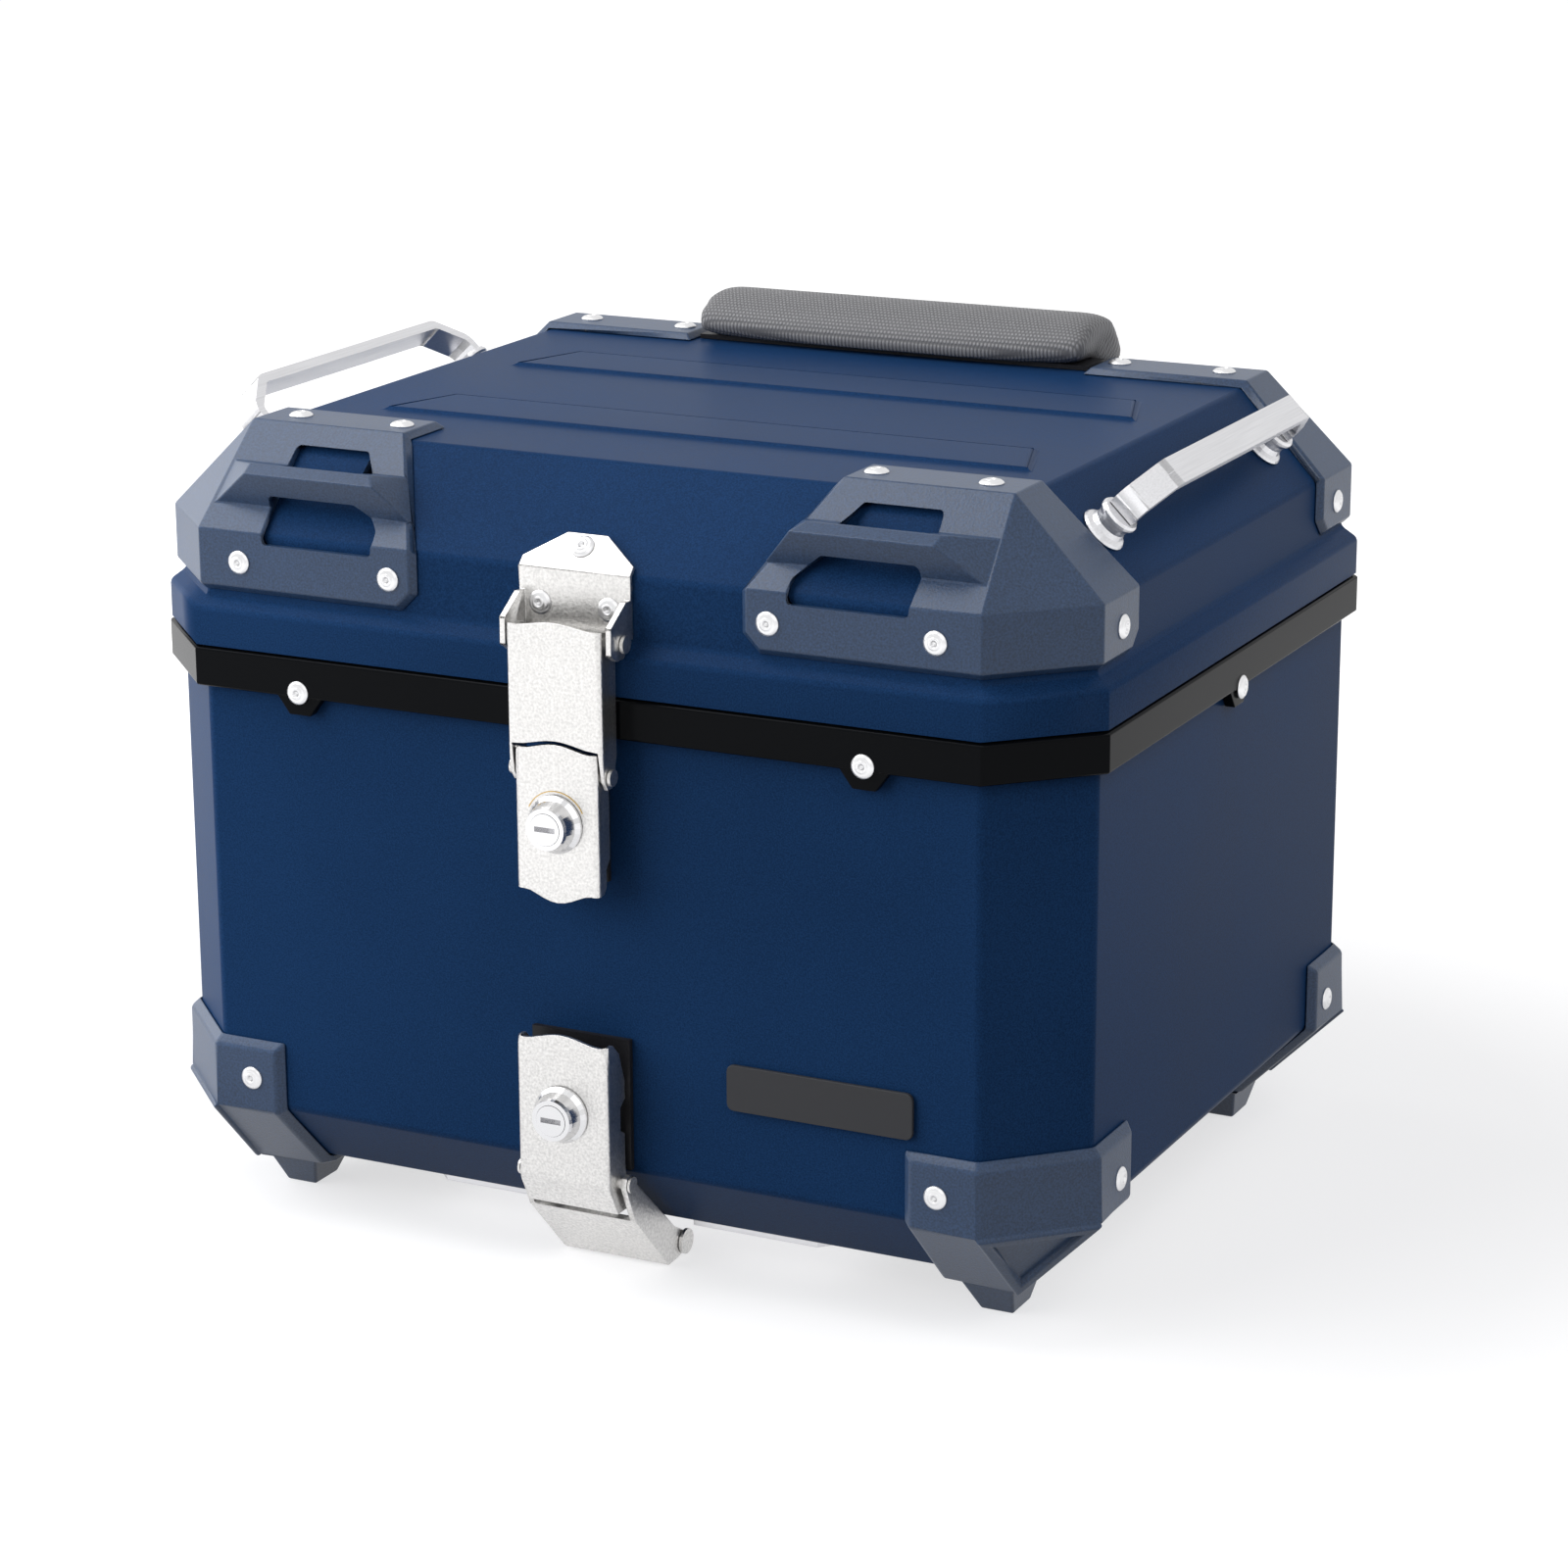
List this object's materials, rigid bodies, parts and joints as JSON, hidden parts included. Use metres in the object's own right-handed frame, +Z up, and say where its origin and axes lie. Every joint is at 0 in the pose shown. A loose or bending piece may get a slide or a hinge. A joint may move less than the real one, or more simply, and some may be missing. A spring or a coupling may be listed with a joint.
{
  "type": "motorcycle top case",
  "caption": "Hard aluminium motorcycle top case with a hinged lid, corner guards with strap bars, side handles, a backrest pad, a lid latch with lock and a carrier lock with its hook.",
  "frame": {"origin": "on the ground, under the middle of the part's bounding box", "axes": "+X to the case's right, +Y to its back, where the hinges and the backrest are, +Z up; the latches are on the front, -Y"},
  "size_m": [0.435, 0.3964, 0.36],
  "materials": {
    "navy_coat": "fine-textured satin powder coat",
    "navy_moulding": "fine-textured satin moulding",
    "base_sheet": "brushed, bare",
    "black_gloss": "gloss black",
    "seal_rubber": "matt black",
    "black_coat": "satin black",
    "grey_plastic": "matt dark grey, bare",
    "pad_leather": "embossed synthetic leather",
    "brushed_aluminium": "brushed",
    "blasted_steel": "bead-blasted, bright",
    "lock_chrome": "polished"
  },
  "bodies": {
    "case": {"box_shell": "navy_coat", "rim_band": "black_gloss", "rim_seal": "seal_rubber", "base_plate": "base_sheet", "badge_plate": "grey_plastic", "latch_keeper": "black_coat", "mount_lock_base": "black_coat", "mount_lever_pin": "blasted_steel", "hinge_lower_leaf_left": "black_coat", "hinge_lower_leaf_right": "black_coat", "hinge_pin_left": "blasted_steel", "hinge_pin_right": "blasted_steel", "lower_guard_front_left": "navy_moulding", "lower_guard_front_right": "navy_moulding", "lower_guard_rear_left": "navy_moulding", "lower_guard_rear_right": "navy_moulding"},
    "lid": {"lid_shell": "navy_coat", "upper_guard_front_left": "navy_moulding", "upper_guard_front_right": "navy_moulding", "upper_guard_rear_left": "navy_moulding", "upper_guard_rear_right": "navy_moulding", "handle_bar_left": "brushed_aluminium", "handle_bar_right": "brushed_aluminium", "handle_boss_left_front": "brushed_aluminium", "handle_boss_left_rear": "brushed_aluminium", "handle_boss_right_front": "brushed_aluminium", "handle_boss_right_rear": "brushed_aluminium", "backrest_plate": "black_coat", "backrest_pad": "pad_leather", "latch_bracket": "blasted_steel", "latch_hinge_pin": "blasted_steel", "hinge_upper_leaf_left": "black_coat", "hinge_upper_leaf_right": "black_coat"},
    "latch_link_body": {"latch_link": "blasted_steel", "latch_lever_pin": "blasted_steel"},
    "latch_lever_body": {"latch_lever": "blasted_steel", "latch_lock_body": "lock_chrome"},
    "latch_key": {"latch_key_plug": "lock_chrome"},
    "mount_lever_body": {"mount_lever": "blasted_steel", "mount_lock_body": "lock_chrome", "hook_pivot_left": "blasted_steel", "hook_pivot_right": "blasted_steel"},
    "mount_key": {"mount_key_plug": "lock_chrome"},
    "hook_body": {"carrier_hook": "blasted_steel", "hook_cross_pin": "blasted_steel"}
  },
  "joints": [
    {"name": "lid_hinge", "type": "hinge", "parent": "case", "child": "lid", "pos_m": [0, 0.19325, 0.252], "axis": [-1, 0, 0], "range_deg": [0, 95]},
    {"name": "latch_link_swing", "type": "hinge", "parent": "lid", "child": "latch_link_body", "pos_m": [0, -0.17675, 0.275], "axis": [-1, 0, 0], "range_deg": [0, 60]},
    {"name": "latch_lever_swing", "type": "hinge", "parent": "latch_link_body", "child": "latch_lever_body", "pos_m": [0, -0.18215, 0.2215], "axis": [-1, 0, 0], "range_deg": [0, 90]},
    {"name": "latch_key_turn", "type": "hinge", "parent": "latch_lever_body", "child": "latch_key", "pos_m": [0, -0.19775, 0.2015], "axis": [0, -1, 0], "range_deg": [0, 90]},
    {"name": "mount_lever_swing", "type": "hinge", "parent": "case", "child": "mount_lever_body", "pos_m": [0, -0.17625, 0.0405], "axis": [1, 0, 0], "range_deg": [0, 50]},
    {"name": "mount_key_turn", "type": "hinge", "parent": "mount_lever_body", "child": "mount_key", "pos_m": [0, -0.19775, 0.079], "axis": [0, -1, 0], "range_deg": [0, 90]},
    {"name": "hook_swing", "type": "hinge", "parent": "mount_lever_body", "child": "hook_body", "pos_m": [0, -0.17725, 0.0485], "axis": [1, 0, 0], "range_deg": [-46, 1]}
  ],
  "couplings": [
    {"joint": "hook_swing", "follows": "mount_lever_swing", "ratio": -0.9}
  ]
}
